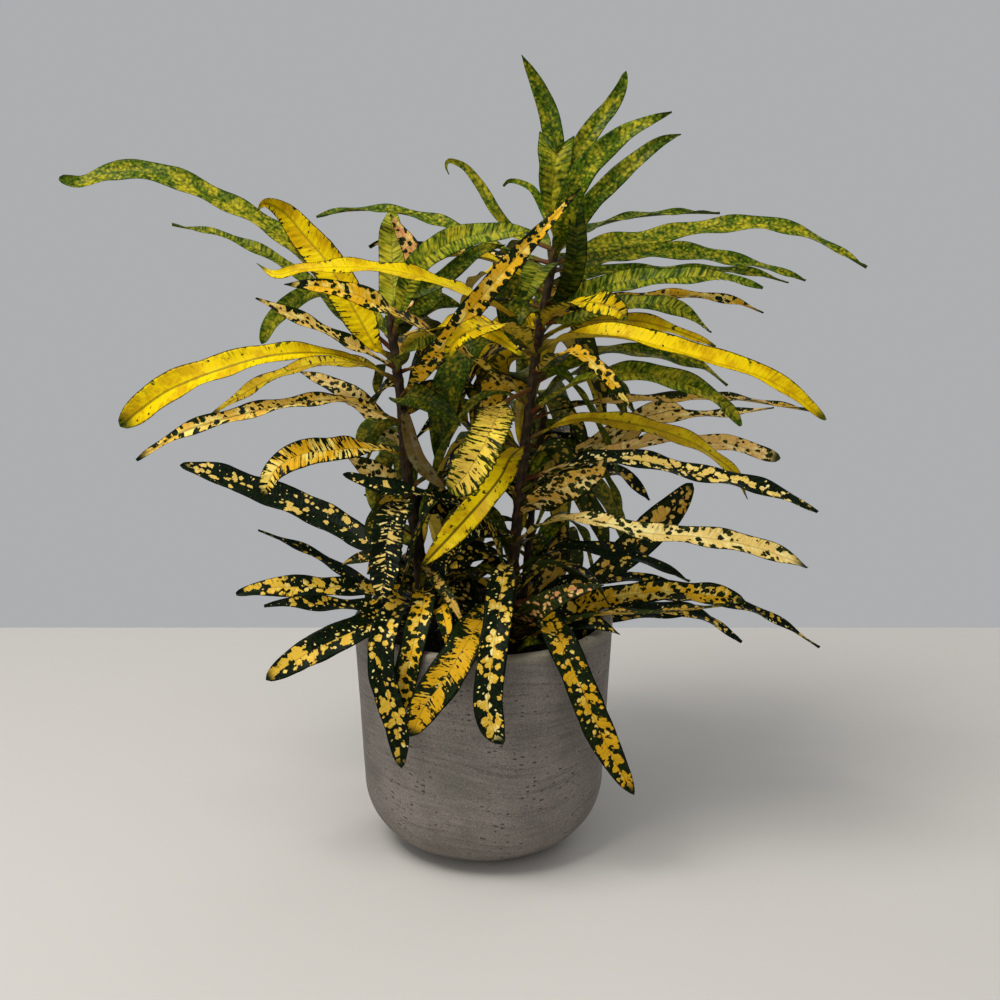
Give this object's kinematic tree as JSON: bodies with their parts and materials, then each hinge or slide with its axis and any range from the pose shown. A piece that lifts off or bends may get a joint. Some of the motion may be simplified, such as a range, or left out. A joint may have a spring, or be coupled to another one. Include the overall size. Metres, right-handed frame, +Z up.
{
  "type": "potted croton",
  "caption": "Bushy croton with long narrow speckled leaves on woody stems, rooted in soil in a round cement-look pot with a rounded heel.",
  "frame": {"origin": "centre of the pot's foot, on the surface that it stands on", "axes": "+Z up along the pot's axis, -Y towards the front of the plant, +X to the right seen from the front"},
  "size_m": [0.4197, 0.2646, 0.4212],
  "materials": {
    "cement": "matte cast cement, brushed rings",
    "soil": "moist peat potting soil",
    "bark": "young brown bark",
    "leaf_green": "waxy leaf, green with yellow flecks",
    "leaf_yellow": "waxy leaf, yellow with a dark edge",
    "leaf_blotched": "waxy leaf, yellow with dark blotches",
    "leaf_dark": "waxy leaf, dark green with pale spots",
    "leaf_cream": "waxy leaf, cream with dark spots"
  },
  "bodies": {
    "root": {"pot": "cement", "potting_soil": "soil", "stem_right": "bark", "stem_left": "bark", "stem_back": "bark", "leaf_left_long_arch": "leaf_green", "leaf_left_thin_arch": "leaf_green", "leaf_left_broad_curl": "leaf_yellow", "leaf_left_back_arc": "leaf_green", "leaf_left_bright_arch": "leaf_yellow", "leaf_left_under_arch": "leaf_yellow", "leaf_left_long_blotched": "leaf_blotched", "leaf_left_cream": "leaf_cream", "leaf_left_striped": "leaf_blotched", "leaf_left_dark_big": "leaf_dark", "leaf_left_dark_thin": "leaf_dark", "leaf_front_small_dark": "leaf_dark", "leaf_left_hanging_ribbed": "leaf_dark", "leaf_left_low_blotched": "leaf_dark", "leaf_left_low_wide": "leaf_dark", "leaf_rim_left_hanging": "leaf_dark", "leaf_rim_left_yellow": "leaf_blotched", "leaf_front_diagonal": "leaf_blotched", "leaf_front_centre_hanging": "leaf_dark", "leaf_front_right_hanging": "leaf_blotched", "leaf_rib_green": "leaf_green", "leaf_orange_diagonal": "leaf_blotched", "leaf_crown_left_flat": "leaf_green", "leaf_yellow_left_long": "leaf_yellow", "leaf_blotched_left_long": "leaf_blotched", "leaf_crown_curled_tip": "leaf_green", "leaf_crown_top": "leaf_green", "leaf_crown_folded": "leaf_green", "leaf_crown_back_right": "leaf_green", "leaf_crown_front_right": "leaf_green", "leaf_crown_low_right": "leaf_green", "leaf_crown_forward": "leaf_green", "leaf_right_thin_back": "leaf_green", "leaf_right_long": "leaf_green", "leaf_right_second": "leaf_green", "leaf_right_ribbed": "leaf_green", "leaf_right_bright_long": "leaf_yellow", "leaf_right_lit_curl": "leaf_yellow", "leaf_right_back_green": "leaf_green", "leaf_right_droop_green": "leaf_green", "leaf_right_back_cream": "leaf_cream", "leaf_right_droop_yellow": "leaf_yellow", "leaf_right_dark_long": "leaf_dark", "leaf_right_pale_broad": "leaf_cream", "leaf_right_cream_long": "leaf_cream", "leaf_right_paddle": "leaf_blotched", "leaf_right_dark_arch": "leaf_dark", "leaf_right_low_blotched": "leaf_blotched", "leaf_right_low_pink": "leaf_cream", "leaf_centre_bright_tip": "leaf_yellow", "leaf_centre_ribbed": "leaf_yellow", "leaf_centre_yellow": "leaf_yellow", "leaf_back_crown": "leaf_green", "leaf_back_right": "leaf_green", "leaf_back_left": "leaf_blotched"}
  },
  "joints": []
}
